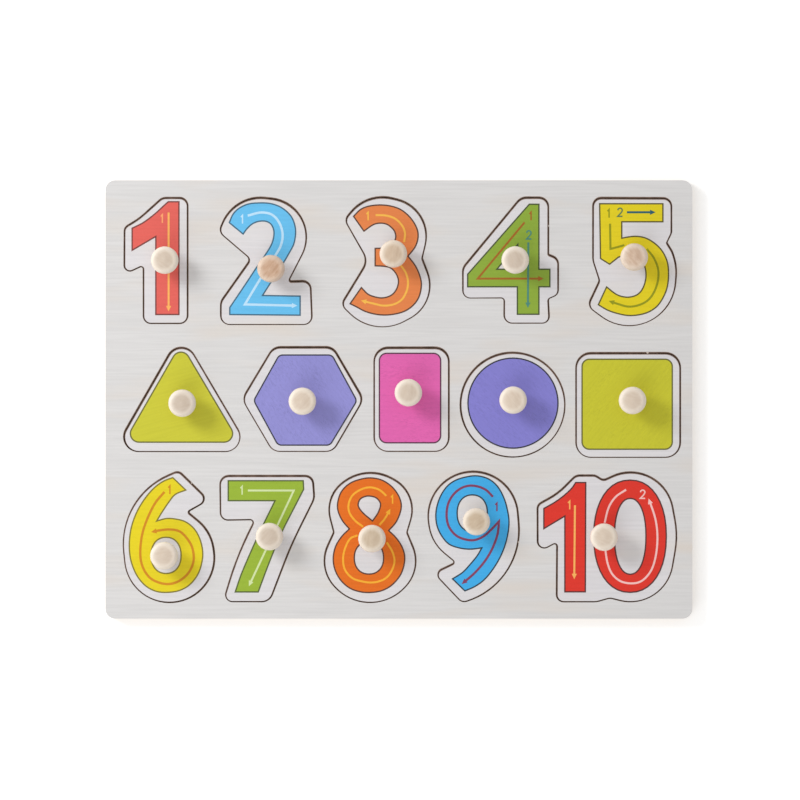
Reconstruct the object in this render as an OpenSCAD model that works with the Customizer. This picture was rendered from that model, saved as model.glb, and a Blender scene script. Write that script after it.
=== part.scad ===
// Wooden peg puzzle: a board of two glued sheets with fifteen loose pieces, each lifted by a turned peg.
// Lengths are in millimetres. X runs along the board, Y up the page and Z out of the face,
// and the origin is the middle of the underside.

/* [Board] */
// Radius of the board's corners
board_corner_radius = 5; // [2:0.5:8]
// Thickness of the top sheet, from which the loose pieces are cut as well
top_sheet_thickness = 4; // [3:0.5:8]
// Thickness of the backing sheet that closes the cut-outs
backing_thickness = 3; // [2:0.5:6]
// Gap all round a loose piece that lies in the middle of its cut-out
piece_gap = 0.6; // [0.4:0.05:0.9]

/* [Number pieces] */
// Height of the numbers, which sets their widths as well
number_height = 65.6; // [50:0.1:90]

/* [Shape pieces] */
// Width of the triangle
triangle_width = 58.5; // [45:0.1:75]
// Height of the triangle
triangle_height = 52.4; // [40:0.1:70]
// Width of the hexagon
hexagon_width = 59.2; // [45:0.1:75]
// Height of the hexagon
hexagon_height = 52.6; // [40:0.1:70]
// Width of the rectangle
rectangle_width = 37.2; // [30:0.1:60]
// Height of the rectangle
rectangle_height = 52.3; // [40:0.1:70]
// Diameter of the circle
circle_diameter = 52.7; // [40:0.1:70]
// Side of the square
square_side = 52.6; // [40:0.1:70]

/* [Layout] */
// Distance from the board's left edge to the first piece of a row
left_margin = 9.9; // [6:0.1:20]
// Distance from the end of the longest row to the board's right edge
right_margin = 6.5; // [5:0.1:20]
// Distance from the board's top and bottom edges to the numbers
end_margin = 9; // [6:0.1:20]
// Distance between the row of shapes and each row of numbers
row_gap = 11.1; // [8:0.1:20]
// Distance between the numbers of the upper row
upper_number_gap = 17.25; // [8:0.05:30]
// Distance between the shapes
shape_gap = 6.85; // [5:0.05:15]
// Distance between the numbers of the lower row
lower_number_gap = 7.15; // [5:0.05:15]

/* [Pegs] */
// Height of a peg above its piece
peg_height = 13; // [10:0.1:18]
// Diameter of the head
peg_head_diameter = 14; // [12:0.1:18]
// Thickness of the head, from its underside to the top of its crown
peg_head_thickness = 7; // [5.5:0.5:9]
// Radius of the head's rounded edges
peg_head_edge_radius = 2.4; // [1:0.1:2.6]
// Rise of the crown towards the middle of the head
peg_crown_rise = 0.5; // [0.2:0.1:1]
// Diameter of the stem where it is narrowest
peg_stem_diameter = 7.6; // [6.4:0.1:8]
// Diameter of the foot that stands on the piece
peg_foot_diameter = 9.6; // [8.6:0.1:11]
// Height over which the foot flares into the stem
peg_flare_height = 3; // [1:0.1:4]
// Diameter of the tenon that is glued into the piece
tenon_diameter = 5; // [4:0.1:6]
// Glue gap round the tenon
tenon_gap = 0.05; // [0.02:0.01:0.1]
// Distance from the tip of the tenon to the underside of the piece
tenon_tip_gap = 0.5; // [0.2:0.1:1.5]
// Chamfer on the tip of the tenon
tenon_chamfer = 0.4; // [0.1:0.1:0.8]

/* [Hidden] */

// How far a cutting shape runs past the faces that it cuts
cut_overrun = 1;
// How far a straight step may lie inside the true curve of an outline
curve_sag = 0.03;
// Step between the points of a turned profile's arcs, in degrees
profile_step = 15;
full_turn = 360;
quarter_turn = 90;
// The most that an outline may turn back on a disc that its neighbours nearly swallow, in degrees
back_turn = 60;
// Faces of a full round hole or disc
round_faces = 96;

piece_floor = backing_thickness;
board_face = backing_thickness + top_sheet_thickness;
backing_wood = "wheat";
board_wood = "gainsboro";
peg_wood = "burlywood";

// Outlines. Each is a list of discs that the cut edge runs round, anticlockwise. A row holds the disc's
// place as shares of the piece's width and height, and its radius as a share of the height.
// The edge keeps outside a disc with a positive radius, a corner, and bends round a negative one, a notch.
one_outline_shares = [
    [0.420, 0.055, 0.055],
    [0.880, 0.060, 0.060],
    [0.880, 0.940, 0.060],
    [0.660, 0.930, 0.070],
    [-0.480, 1.317, -0.600],
    [0.105, 0.735, 0.050],
    [0.082, 0.462, 0.040],
    [0.260, 0.432, -0.025]
];
two_outline_shares = [
    [0.090, 0.065, 0.065],
    [0.917, 0.060, 0.060],
    [0.905, 0.275, 0.060],
    [0.780, 0.352, -0.020],
    [0.515, 0.690, 0.302],
    [0.437, 0.674, 0.324],
    [0.080, 0.750, 0.060],
    [0.252, 0.507, -0.045],
    [0.125, 0.145, 0.090]
];
three_outline_shares = [
    [0.450, 0.356, 0.356],
    [0.570, 0.318, 0.285],
    [0.964, 0.532, -0.035],
    [0.520, 0.700, 0.290],
    [0.453, 0.685, 0.315],
    [0.120, 0.822, 0.058],
    [0.069, 0.512, -0.125],
    [0.078, 0.176, 0.055]
];
four_outline_shares = [
    [0.518, 0.060, 0.060],
    [0.837, 0.050, 0.050],
    [0.934, 0.175, -0.030],
    [0.934, 0.262, 0.050],
    [0.921, 0.470, 0.060],
    [0.922, 0.556, -0.020],
    [0.803, 0.930, 0.070],
    [0.670, 0.910, 0.090],
    [0.118, 0.405, 0.090],
    [0.072, 0.257, 0.055],
    [0.400, 0.173, -0.030]
];
five_outline_shares = [
    [0.455, 0.365, 0.365],
    [0.390, 0.417, 0.413],
    [0.822, 0.540, 0.098],
    [0.923, 0.655, -0.020],
    [0.872, 0.745, 0.050],
    [0.857, 0.943, 0.060],
    [0.125, 0.945, 0.060],
    [0.213, 0.535, 0.120],
    [0.034, 0.355, -0.050],
    [0.085, 0.170, 0.060]
];
six_outline_shares = [
    [0.503, 0.342, 0.342],
    [0.517, 0.367, 0.329],
    [0.746, 0.692, -0.020],
    [0.820, 0.797, 0.047],
    [0.590, 0.948, 0.048],
    [0.831, 0.446, 0.573]
];
seven_outline_shares = [
    [0.125, 0.050, 0.050],
    [0.443, 0.085, 0.085],
    [4.470, -0.758, -3.000],
    [0.850, 0.850, 0.115],
    [0.915, 0.942, 0.060],
    [0.085, 0.937, 0.065],
    [0.075, 0.712, 0.055],
    [0.316, 0.630, -0.030],
    [3.528, -0.620, 2.655]
];
eight_outline_shares = [
    [0.499, 0.366, 0.366],
    [0.593, 0.318, 0.285],
    [0.948, 0.542, -0.031],
    [0.583, 0.716, 0.264],
    [0.504, 0.662, 0.338],
    [0.425, 0.716, 0.262],
    [0.057, 0.544, -0.031],
    [0.405, 0.318, 0.285]
];
nine_outline_shares = [
    [0.396, 0.058, 0.052],
    [0.169, 0.554, 0.571],
    [0.497, 0.658, 0.342],
    [0.483, 0.633, 0.329],
    [0.252, 0.306, -0.022],
    [0.165, 0.207, 0.042]
];
ten_outline_shares = [
    [0.182, 0.050, 0.050],
    [0.400, 0.138, 0.138],
    [0.516, -0.050, -0.077],
    [0.662, 0.328, 0.328],
    [0.355, 0.508, 0.686],
    [0.663, 0.669, 0.329],
    [0.470, 0.995, -0.054],
    [0.391, 0.913, 0.061],
    [0.298, 0.905, 0.069],
    [-0.172, 1.286, -0.560],
    [0.042, 0.719, 0.048],
    [0.042, 0.466, 0.047],
    [0.116, 0.428, -0.024]
];
triangle_outline_shares = [
    [0.122, 0.137, 0.137],
    [0.878, 0.137, 0.137],
    [0.495, 0.863, 0.137]
];
hexagon_outline_shares = [
    [0.305, 0.115, 0.115],
    [0.700, 0.115, 0.115],
    [0.900, 0.500, 0.115],
    [0.700, 0.885, 0.115],
    [0.309, 0.885, 0.115],
    [0.104, 0.500, 0.115]
];
rectangle_outline_shares = [
    [0.178, 0.130, 0.130],
    [0.822, 0.130, 0.130],
    [0.822, 0.870, 0.130],
    [0.178, 0.870, 0.130]
];
circle_outline_shares = [
    [0.500, 0.500, 0.500]
];
square_outline_shares = [
    [0.138, 0.138, 0.138],
    [0.862, 0.138, 0.138],
    [0.862, 0.862, 0.138],
    [0.138, 0.862, 0.138]
];

// Widths and heights of the numbers, as shares of the height of the numbers.
upper_size_shares = [[0.485, 0.968], [0.698, 0.980], [0.662, 1.000], [0.732, 0.968], [0.660, 0.980]];
lower_size_shares = [[0.681, 1.009], [0.7165, 0.968], [0.701, 1.000], [0.680, 1.009], [1.082, 1.000]];
shape_sizes = [
    [triangle_width, triangle_height],
    [hexagon_width, hexagon_height],
    [rectangle_width, rectangle_height],
    [circle_diameter, circle_diameter],
    [square_side, square_side]
];
shape_height = max([for (size = shape_sizes) size[1]]);

// Places, as three pairs of shares for each loose piece: the space before it, of the gap in its row or,
// for the first piece, of the left margin, and its rise in the row, of the height of the row; the peg on
// the piece, of the piece's size from its lower left corner; and how far the piece lies off the middle of
// its cut-out, of the gap.
upper_place_shares = [
    [[1.000, -0.0045], [0.653, 0.502], [-0.05, -0.25]],
    [[1.020, 0], [0.556, 0.438], [0.05, -0.45]],
    [[0.980, 0.002], [0.579, 0.563], [0, -0.5]],
    [[1.020, -0.0015], [0.547, 0.502], [-0.05, -0.45]],
    [[0.980, -0.009], [0.506, 0.539], [0, -0.5]]
];
shape_place_shares = [
    [[0.985, 0], [0.505, 0.468], [0.4, -0.35]],
    [[0.430, 0.004], [0.502, 0.485], [-0.2, -0.5]],
    [[1.088, 0.002], [0.458, 0.570], [-0.15, -0.5]],
    [[0.970, -0.051], [0.500, 0.547], [0.2, -0.2]],
    [[0.942, -0.0535], [0.536, 0.549], [-0.1, -0.45]]
];
lower_place_shares = [
    [[1.045, -0.005], [0.451, 0.360], [-0.35, -0.1]],
    [[0.573, 0.0015], [0.532, 0.523], [-0.2, -0.2]],
    [[0.860, -0.0045], [0.521, 0.497], [0.05, -0.25]],
    [[1.049, -0.004], [0.532, 0.623], [-0.15, -0.2]],
    [[1.524, 0.001], [0.467, 0.503], [0.1, -0.25]]
];

// The rows: the outlines, sizes and places of their pieces, their height and gap, and how far they stand
// out from the middle of the board towards its top margin, as a share.
upper_row_share = 1;
middle_row_share = 0;
lower_row_share = -1;
upper_numbers = [
    [
        one_outline_shares, two_outline_shares, three_outline_shares,
        four_outline_shares, five_outline_shares
    ],
    number_height * upper_size_shares, upper_place_shares,
    number_height, upper_number_gap, upper_row_share
];
shapes = [
    [
        triangle_outline_shares, hexagon_outline_shares, rectangle_outline_shares,
        circle_outline_shares, square_outline_shares
    ],
    shape_sizes, shape_place_shares,
    shape_height, shape_gap, middle_row_share
];
lower_numbers = [
    [
        six_outline_shares, seven_outline_shares, eight_outline_shares,
        nine_outline_shares, ten_outline_shares
    ],
    number_height * lower_size_shares, lower_place_shares,
    number_height, lower_number_gap, lower_row_share
];
rows = [upper_numbers, shapes, lower_numbers];

board_width = max([for (row = rows) row_end(row)]) + right_margin;
board_depth = 2 * (end_margin + number_height + row_gap) + shape_height;

function piece_size(row, place) = row[1][place];

// The left edge of a piece, from the board's left edge.
function piece_start(row, place) =
    let (lead_share = row[2][place][0][0])
    place == 0
    ? lead_share * left_margin
    : piece_start(row, place - 1) + piece_size(row, place - 1)[0] + lead_share * row[4];

function row_end(row) =
    let (last = len(row[0]) - 1)
    piece_start(row, last) + piece_size(row, last)[0];

function cutout_middle(row, place) =
    let (size = piece_size(row, place), rise_share = row[2][place][0][1])
    [
        piece_start(row, place) + size[0] / 2 - board_width / 2,
        row[5] * (board_depth / 2 - end_margin - size[1] / 2) + rise_share * row[3]
    ];

function piece_middle(row, place) = cutout_middle(row, place) + piece_gap * row[2][place][2];

function peg_offset(row, place) =
    let (size = piece_size(row, place), shares = row[2][place][1])
    [(shares[0] - 1 / 2) * size[0], (shares[1] - 1 / 2) * size[1]];

// The discs of a piece's outline at their real size, round the middle of the piece.
function outline_discs(row, place) =
    let (size = piece_size(row, place))
    [for (disc = row[0][place])
        [(disc[0] - 1 / 2) * size[0], (disc[1] - 1 / 2) * size[1], disc[2] * size[1]]];

// The way that the straight edge between two discs faces, as an angle.
function edge_facing(disc, next) =
    let (
        step = [next[0] - disc[0], next[1] - disc[1]],
        closing = (disc[2] - next[2]) / norm(step)
    )
    atan2(step[1], step[0]) - acos(max(-1, min(1, closing)));

function whole_turn(angle) = angle - full_turn * floor(angle / full_turn);

// The angle swept on a disc: onwards round a corner, backwards round a notch.
function disc_sweep(disc, start, end) =
    disc[2] > 0
    ? whole_turn(end - start + back_turn) - back_turn
    : back_turn - whole_turn(start - end + back_turn);

function arc_steps(radius, sweep) =
    max(1, ceil(abs(sweep) / (2 * acos(1 - min(1, curve_sag / abs(radius))))));

// The points of an outline that runs round its discs, moved outwards by grow.
function outline_points(discs, grow = 0) = [
    for (i = [0 : len(discs) - 1])
        let (
            disc = discs[i],
            before = discs[(i + len(discs) - 1) % len(discs)],
            after = discs[(i + 1) % len(discs)],
            start = edge_facing(before, disc),
            sweep = disc_sweep(disc, start, edge_facing(disc, after)),
            steps = arc_steps(disc[2], sweep)
        )
        for (k = [0 : steps])
            let (angle = start + sweep * k / steps)
            [disc[0], disc[1]] + (disc[2] + grow) * [cos(angle), sin(angle)]
];

// Points of an arc of a turned profile.
function arc_points(middle, radius, start, end) =
    let (steps = ceil(abs(end - start) / profile_step))
    [for (k = [0 : steps])
        let (angle = start + (end - start) * k / steps)
        middle + radius * [cos(angle), sin(angle)]];

// A flat outline: a true circle for a single disc, or else the run round several.
module outline(discs, grow = 0) {
    if (len(discs) == 1)
        circle(r = discs[0][2] + grow, $fn = round_faces);
    else
        polygon(outline_points(discs, grow));
}

module board_outline() {
    reach = [board_width / 2 - board_corner_radius, board_depth / 2 - board_corner_radius];
    outline([
        [-reach[0], -reach[1], board_corner_radius],
        [reach[0], -reach[1], board_corner_radius],
        [reach[0], reach[1], board_corner_radius],
        [-reach[0], reach[1], board_corner_radius]
    ]);
}

// A piece cut from the sheet, with the hole that takes its peg's tenon.
module loose_piece(row, place) {
    translate([each piece_middle(row, place), piece_floor])
        difference() {
            linear_extrude(top_sheet_thickness)
                outline(outline_discs(row, place));
            translate([each peg_offset(row, place), -cut_overrun])
                cylinder(
                    h = top_sheet_thickness + 2 * cut_overrun,
                    d = tenon_diameter + 2 * tenon_gap,
                    $fn = round_faces
                );
        }
}

// Half of a peg's turned shape, from the tip of its tenon up to the crown of its head.
function peg_profile() =
    let (
        tenon_radius = tenon_diameter / 2,
        tenon_length = top_sheet_thickness - tenon_tip_gap,
        foot_radius = peg_foot_diameter / 2,
        stem_radius = peg_stem_diameter / 2,
        flare = foot_radius - stem_radius,
        flare_radius = (flare ^ 2 + peg_flare_height ^ 2) / (2 * flare),
        flare_angle = asin(peg_flare_height / flare_radius),
        head_radius = peg_head_diameter / 2,
        head_underside = peg_height - peg_head_thickness,
        shoulder = peg_height - peg_crown_rise,
        crown_reach = head_radius - peg_head_edge_radius,
        crown_radius = (crown_reach ^ 2 + peg_crown_rise ^ 2) / (2 * peg_crown_rise),
        crown_angle = asin(crown_reach / crown_radius)
    )
    [
        [0, -tenon_length],
        [tenon_radius - tenon_chamfer, -tenon_length],
        [tenon_radius, tenon_chamfer - tenon_length],
        [tenon_radius, 0],
        each arc_points(
            [stem_radius + flare_radius, peg_flare_height], flare_radius,
            2 * quarter_turn + flare_angle, 2 * quarter_turn
        ),
        [stem_radius, head_underside],
        each arc_points(
            [crown_reach, head_underside + peg_head_edge_radius], peg_head_edge_radius,
            -quarter_turn, 0
        ),
        each arc_points(
            [crown_reach, shoulder - peg_head_edge_radius], peg_head_edge_radius,
            0, quarter_turn - crown_angle
        ),
        each arc_points(
            [0, peg_height - crown_radius], crown_radius,
            quarter_turn - crown_angle, quarter_turn
        )
    ];

// A turned peg, standing on its piece.
module peg(row, place) {
    translate([each (piece_middle(row, place) + peg_offset(row, place)), board_face])
        rotate_extrude($fn = round_faces)
            polygon(peg_profile());
}

module top_board() {
    color(board_wood)
        translate([0, 0, piece_floor])
            linear_extrude(top_sheet_thickness)
                difference() {
                    board_outline();
                    for (row = rows)
                        for (place = [0 : len(row[0]) - 1])
                            translate(cutout_middle(row, place))
                                outline(outline_discs(row, place), piece_gap);
                }
}

module backing_board() {
    color(backing_wood)
        linear_extrude(backing_thickness)
            board_outline();
}

module piece_one() { color("indianred") loose_piece(upper_numbers, 0); }
module piece_two() { color("skyblue") loose_piece(upper_numbers, 1); }
module piece_three() { color("coral") loose_piece(upper_numbers, 2); }
module piece_four() { color("yellowgreen") loose_piece(upper_numbers, 3); }
module piece_five() { color("gold") loose_piece(upper_numbers, 4); }
module piece_six() { color("gold") loose_piece(lower_numbers, 0); }
module piece_seven() { color("yellowgreen") loose_piece(lower_numbers, 1); }
module piece_eight() { color("darkorange") loose_piece(lower_numbers, 2); }
module piece_nine() { color("deepskyblue") loose_piece(lower_numbers, 3); }
module piece_ten() { color("firebrick") loose_piece(lower_numbers, 4); }
module piece_triangle() { color("khaki") loose_piece(shapes, 0); }
module piece_hexagon() { color("mediumpurple") loose_piece(shapes, 1); }
module piece_rectangle() { color("hotpink") loose_piece(shapes, 2); }
module piece_circle() { color("slateblue") loose_piece(shapes, 3); }
module piece_square() { color("darkkhaki") loose_piece(shapes, 4); }

module peg_one() { color(peg_wood) peg(upper_numbers, 0); }
module peg_two() { color(peg_wood) peg(upper_numbers, 1); }
module peg_three() { color(peg_wood) peg(upper_numbers, 2); }
module peg_four() { color(peg_wood) peg(upper_numbers, 3); }
module peg_five() { color(peg_wood) peg(upper_numbers, 4); }
module peg_six() { color(peg_wood) peg(lower_numbers, 0); }
module peg_seven() { color(peg_wood) peg(lower_numbers, 1); }
module peg_eight() { color(peg_wood) peg(lower_numbers, 2); }
module peg_nine() { color(peg_wood) peg(lower_numbers, 3); }
module peg_ten() { color(peg_wood) peg(lower_numbers, 4); }
module peg_triangle() { color(peg_wood) peg(shapes, 0); }
module peg_hexagon() { color(peg_wood) peg(shapes, 1); }
module peg_rectangle() { color(peg_wood) peg(shapes, 2); }
module peg_circle() { color(peg_wood) peg(shapes, 3); }
module peg_square() { color(peg_wood) peg(shapes, 4); }

top_board();
backing_board();
piece_one();
piece_two();
piece_three();
piece_four();
piece_five();
piece_six();
piece_seven();
piece_eight();
piece_nine();
piece_ten();
piece_triangle();
piece_hexagon();
piece_rectangle();
piece_circle();
piece_square();
peg_one();
peg_two();
peg_three();
peg_four();
peg_five();
peg_six();
peg_seven();
peg_eight();
peg_nine();
peg_ten();
peg_triangle();
peg_hexagon();
peg_rectangle();
peg_circle();
peg_square();
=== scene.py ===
import math

import bmesh
import bpy
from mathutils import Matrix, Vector, noise


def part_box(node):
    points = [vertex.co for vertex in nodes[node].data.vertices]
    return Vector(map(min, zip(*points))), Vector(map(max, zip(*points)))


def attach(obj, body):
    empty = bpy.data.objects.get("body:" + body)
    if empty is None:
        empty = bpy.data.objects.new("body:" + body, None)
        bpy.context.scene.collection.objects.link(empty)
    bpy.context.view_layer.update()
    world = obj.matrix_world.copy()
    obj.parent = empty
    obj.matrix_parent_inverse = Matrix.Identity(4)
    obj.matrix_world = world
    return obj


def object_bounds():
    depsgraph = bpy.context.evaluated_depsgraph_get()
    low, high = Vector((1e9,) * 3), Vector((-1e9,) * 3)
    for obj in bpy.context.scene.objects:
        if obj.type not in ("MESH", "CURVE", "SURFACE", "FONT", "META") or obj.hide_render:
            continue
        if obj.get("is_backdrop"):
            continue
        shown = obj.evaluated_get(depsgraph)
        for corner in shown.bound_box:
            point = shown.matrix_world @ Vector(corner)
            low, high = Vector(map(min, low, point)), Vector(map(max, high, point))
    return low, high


# Looks for a wooden puzzle of numbers and shapes: its finishes, its prints, the light and the camera.

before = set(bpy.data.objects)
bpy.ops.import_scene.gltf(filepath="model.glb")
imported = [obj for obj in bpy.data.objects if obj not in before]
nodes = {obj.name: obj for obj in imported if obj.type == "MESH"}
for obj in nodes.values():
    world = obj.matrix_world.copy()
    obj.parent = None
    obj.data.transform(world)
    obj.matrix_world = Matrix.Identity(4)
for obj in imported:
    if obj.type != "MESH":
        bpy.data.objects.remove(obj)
cad_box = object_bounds()

MM = 0.001
NUMBERS = ["one", "two", "three", "four", "five", "six", "seven", "eight", "nine", "ten"]
SHAPES = ["triangle", "hexagon", "rectangle", "circle", "square"]
PIECES = NUMBERS + SHAPES


# Colours

def light(channel):
    """One channel of a screen colour, 0 to 255, as the share of light that it stands for."""
    share = channel / 255
    if share <= 0.04045:
        return share / 12.92
    return ((share + 0.055) / 1.055) ** 2.4


def tone(red, green, blue):
    """A screen colour as the colour value of a shader."""
    return (light(red), light(green), light(blue), 1)


def shaded(colour, share, least=0.0):
    """A colour with each channel multiplied by a share, on top of a least amount of light."""
    red, green, blue, opacity = colour
    return (least + red * share, least + green * share, least + blue * share, opacity)


# Finishes

class Finish:
    """One material, with short calls for the nodes that its look needs."""

    def __init__(self, name, gloss, centre=(0, 0, 0)):
        self.material = bpy.data.materials.new(name)
        self.material.use_nodes = True
        self.nodes = self.material.node_tree.nodes
        self.links = self.material.node_tree.links
        self.surface = self.nodes["Principled BSDF"]
        self.surface.inputs["Specular IOR Level"].default_value = gloss
        self.centre = centre
        self.place = self.nodes.new("ShaderNodeTexCoord").outputs["Object"]

    def feed(self, socket, value):
        """Links a socket to another one, or sets its own value."""
        if isinstance(value, bpy.types.NodeSocket):
            self.links.new(value, socket)
        else:
            socket.default_value = value

    def noise(self, grain, detail, turn=0, swirl=0.0):
        """Cloudy values from 0 to 1, whose features have the given size in metres along X, Y and Z."""
        mapping = self.nodes.new("ShaderNodeMapping")
        mapping.vector_type = "TEXTURE"
        mapping.inputs["Location"].default_value = self.centre
        mapping.inputs["Rotation"].default_value = (0, 0, turn)
        mapping.inputs["Scale"].default_value = grain
        self.links.new(self.place, mapping.inputs["Vector"])
        texture = self.nodes.new("ShaderNodeTexNoise")
        texture.inputs["Scale"].default_value = 1
        texture.inputs["Detail"].default_value = detail
        texture.inputs["Distortion"].default_value = swirl
        self.links.new(mapping.outputs["Vector"], texture.inputs["Vector"])
        return texture.outputs["Fac"]

    def reach(self):
        """Distance from the upright axis through the centre, in metres."""
        mapping = self.nodes.new("ShaderNodeMapping")
        mapping.vector_type = "TEXTURE"
        mapping.inputs["Location"].default_value = self.centre
        self.links.new(self.place, mapping.inputs["Vector"])
        flat = self.nodes.new("ShaderNodeVectorMath")
        flat.operation = "MULTIPLY"
        flat.inputs[1].default_value = (1, 1, 0)
        self.links.new(mapping.outputs["Vector"], flat.inputs[0])
        length = self.nodes.new("ShaderNodeVectorMath")
        length.operation = "LENGTH"
        self.links.new(flat.outputs["Vector"], length.inputs[0])
        return length.outputs["Value"]

    def axis(self, letter):
        """One coordinate of the place, in metres."""
        split = self.nodes.new("ShaderNodeSeparateXYZ")
        self.links.new(self.place, split.inputs["Vector"])
        return split.outputs[letter]

    def span(self, value, low, high, first, last):
        """A value between low and high as one between first and last."""
        node = self.nodes.new("ShaderNodeMapRange")
        self.links.new(value, node.inputs["Value"])
        node.inputs["From Min"].default_value = low
        node.inputs["From Max"].default_value = high
        node.inputs["To Min"].default_value = first
        node.inputs["To Max"].default_value = last
        return node.outputs["Result"]

    def ramp(self, value, stops):
        """Colours along a value, from (value, colour) stops."""
        node = self.nodes.new("ShaderNodeValToRGB")
        elements = node.color_ramp.elements
        while len(elements) < len(stops):
            elements.new(1)
        for element, (position, colour) in zip(elements, stops):
            element.position = position
            element.color = colour
        self.links.new(value, node.inputs["Fac"])
        return node.outputs["Color"]

    def mix(self, share, first, second):
        """Two colours mixed by a share."""
        node = self.nodes.new("ShaderNodeMix")
        node.data_type = "RGBA"
        sockets = [socket for socket in node.inputs if socket.enabled]
        for socket, value in zip(sockets, (share, first, second)):
            self.feed(socket, value)
        return [socket for socket in node.outputs if socket.enabled][0]

    def done(self, colour, height, depth, roughness):
        """Hands the colour, the roughness and a bump of the given depth to the surface."""
        self.links.new(colour, self.surface.inputs["Base Color"])
        self.links.new(roughness, self.surface.inputs["Roughness"])
        bump = self.nodes.new("ShaderNodeBump")
        bump.inputs["Distance"].default_value = depth
        self.links.new(height, bump.inputs["Height"])
        self.links.new(bump.outputs["Normal"], self.surface.inputs["Normal"])
        return self.material


# Sizes along X, Y and Z of the marks in each finish
FINE_GRAIN = (30 * MM, 1.2 * MM, 1.2 * MM)
BROAD_GRAIN = (110 * MM, 6 * MM, 6 * MM)
BLOTCH = (70 * MM, 14 * MM, 14 * MM)
SPECK = (0.35 * MM, 0.35 * MM, 0.35 * MM)
PORE = (9 * MM, 0.35 * MM, 0.35 * MM)
EDGE_FIBRE = (1.6 * MM, 1.6 * MM, 0.22 * MM)
EDGE_STAIN = (11 * MM, 11 * MM, 3 * MM)
SCORCH_STREAK = (0.5 * MM, 0.5 * MM, 9 * MM)
SCORCH_PATCH = (6 * MM, 6 * MM, 2.5 * MM)
PEG_RING = (6 * MM, 1.8 * MM, 60 * MM)
PEG_FIBRE = (0.6 * MM, 0.6 * MM, 14 * MM)
PEG_BLOTCH = (6 * MM, 6 * MM, 9 * MM)
PEG_TURNING = (30 * MM, 30 * MM, 0.45 * MM)
INK_STREAK = (2.2 * MM, 0.65 * MM, 0.65 * MM)
INK_PATCH = (14 * MM, 9 * MM, 9 * MM)
BURN_PATCH = (4 * MM, 4 * MM, 4 * MM)
BURN_GRAIN = (2.5 * MM, 0.4 * MM, 0.4 * MM)

# Depths of the relief in each finish
PAINT_RELIEF = 0.02 * MM
VENEER_RELIEF = 0.06 * MM
EDGE_RELIEF = 0.09 * MM
SCORCH_RELIEF = 0.08 * MM
PEG_RELIEF = 0.02 * MM
INK_RELIEF = 0.01 * MM
MOTTLE_RELIEF = 0.05 * MM
BURN_RELIEF = 0.02 * MM


def painted_wood(name, pale, shade, warm):
    """Plywood under thin white paint, with the grain as faint streaks along X."""
    finish = Finish(name, gloss=0.25)
    fine = finish.noise(FINE_GRAIN, 2)
    broad = finish.noise(BROAD_GRAIN, 3)
    blotch = finish.noise(BLOTCH, 2)
    speck = finish.noise(SPECK, 1)
    colour = finish.ramp(fine, [(0.3, shade), (0.62, pale)])
    colour = finish.mix(finish.span(broad, 0.45, 0.75, 0, 0.7), colour, shade)
    colour = finish.mix(finish.span(blotch, 0.52, 0.8, 0, 0.75), colour, warm)
    colour = finish.mix(finish.span(speck, 0.6, 0.8, 0, 0.25), colour, pale)
    roughness = finish.span(fine, 0.3, 0.7, 0.7, 0.52)
    return finish.done(colour, fine, PAINT_RELIEF, roughness)


def bare_wood(name, pale, shade, dark):
    """Unpainted veneer, with open grain along X."""
    finish = Finish(name, gloss=0.3)
    fine = finish.noise(FINE_GRAIN, 5)
    broad = finish.noise(BROAD_GRAIN, 3)
    pores = finish.noise(PORE, 2)
    colour = finish.ramp(broad, [(0.3, shade), (0.7, pale)])
    colour = finish.mix(finish.span(fine, 0.35, 0.75, 0, 0.55), colour, shade)
    colour = finish.mix(finish.span(pores, 0.58, 0.75, 0, 0.6), colour, dark)
    roughness = finish.span(fine, 0.3, 0.7, 0.8, 0.62)
    return finish.done(colour, pores, VENEER_RELIEF, roughness)


BACKING_HEIGHT = 3 * MM
SHEETS_HEIGHT = 7 * MM


def layered_edge(name, pale, core, glue, dust):
    """Cut edge of the two glued sheets: each shows a darker core between its face veneers."""
    finish = Finish(name, gloss=0.25)
    height = finish.span(finish.axis("Z"), 0, SHEETS_HEIGHT, 0, 1)
    layers = finish.ramp(height, [
        (0.0, pale), (0.11, pale), (0.14, core), (0.29, core), (0.32, pale), (0.415, pale),
        (0.43, glue), (0.445, pale), (0.58, pale), (0.61, core), (0.82, core), (0.85, pale),
    ])
    fibres = finish.noise(EDGE_FIBRE, 4)
    stain = finish.noise(EDGE_STAIN, 3)
    colour = finish.mix(finish.span(fibres, 0.4, 0.75, 0, 0.55), layers, dust)
    colour = finish.mix(finish.span(stain, 0.5, 0.8, 0, 0.35), colour, core)
    roughness = finish.span(stain, 0.3, 0.7, 0.85, 0.68)
    return finish.done(colour, fibres, EDGE_RELIEF, roughness)


def scorched_edge(name, brown, black, tan):
    """Wall that a hot cutter left: brown, with upright streaks and a paler core."""
    finish = Finish(name, gloss=0.25)
    streaks = finish.noise(SCORCH_STREAK, 3)
    patches = finish.noise(SCORCH_PATCH, 2)
    height = finish.span(finish.axis("Z"), BACKING_HEIGHT, SHEETS_HEIGHT, 0, 1)
    core = finish.ramp(height, [(0.25, brown), (0.4, tan), (0.62, tan), (0.78, brown)])
    colour = finish.mix(finish.span(streaks, 0.35, 0.7, 0, 0.8), core, black)
    colour = finish.mix(finish.span(patches, 0.5, 0.8, 0, 0.5), colour, brown)
    roughness = finish.span(patches, 0.3, 0.7, 0.8, 0.6)
    return finish.done(colour, streaks, SCORCH_RELIEF, roughness)


# Reach from a peg's axis over which a painted highlight pales its wood, and the tone of that painted
# highlight
CROWN_REACH = 3.6 * MM
RIM_REACH = 6.4 * MM
RIM_HIGHLIGHT_TONE = tone(252, 241, 226)


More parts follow.
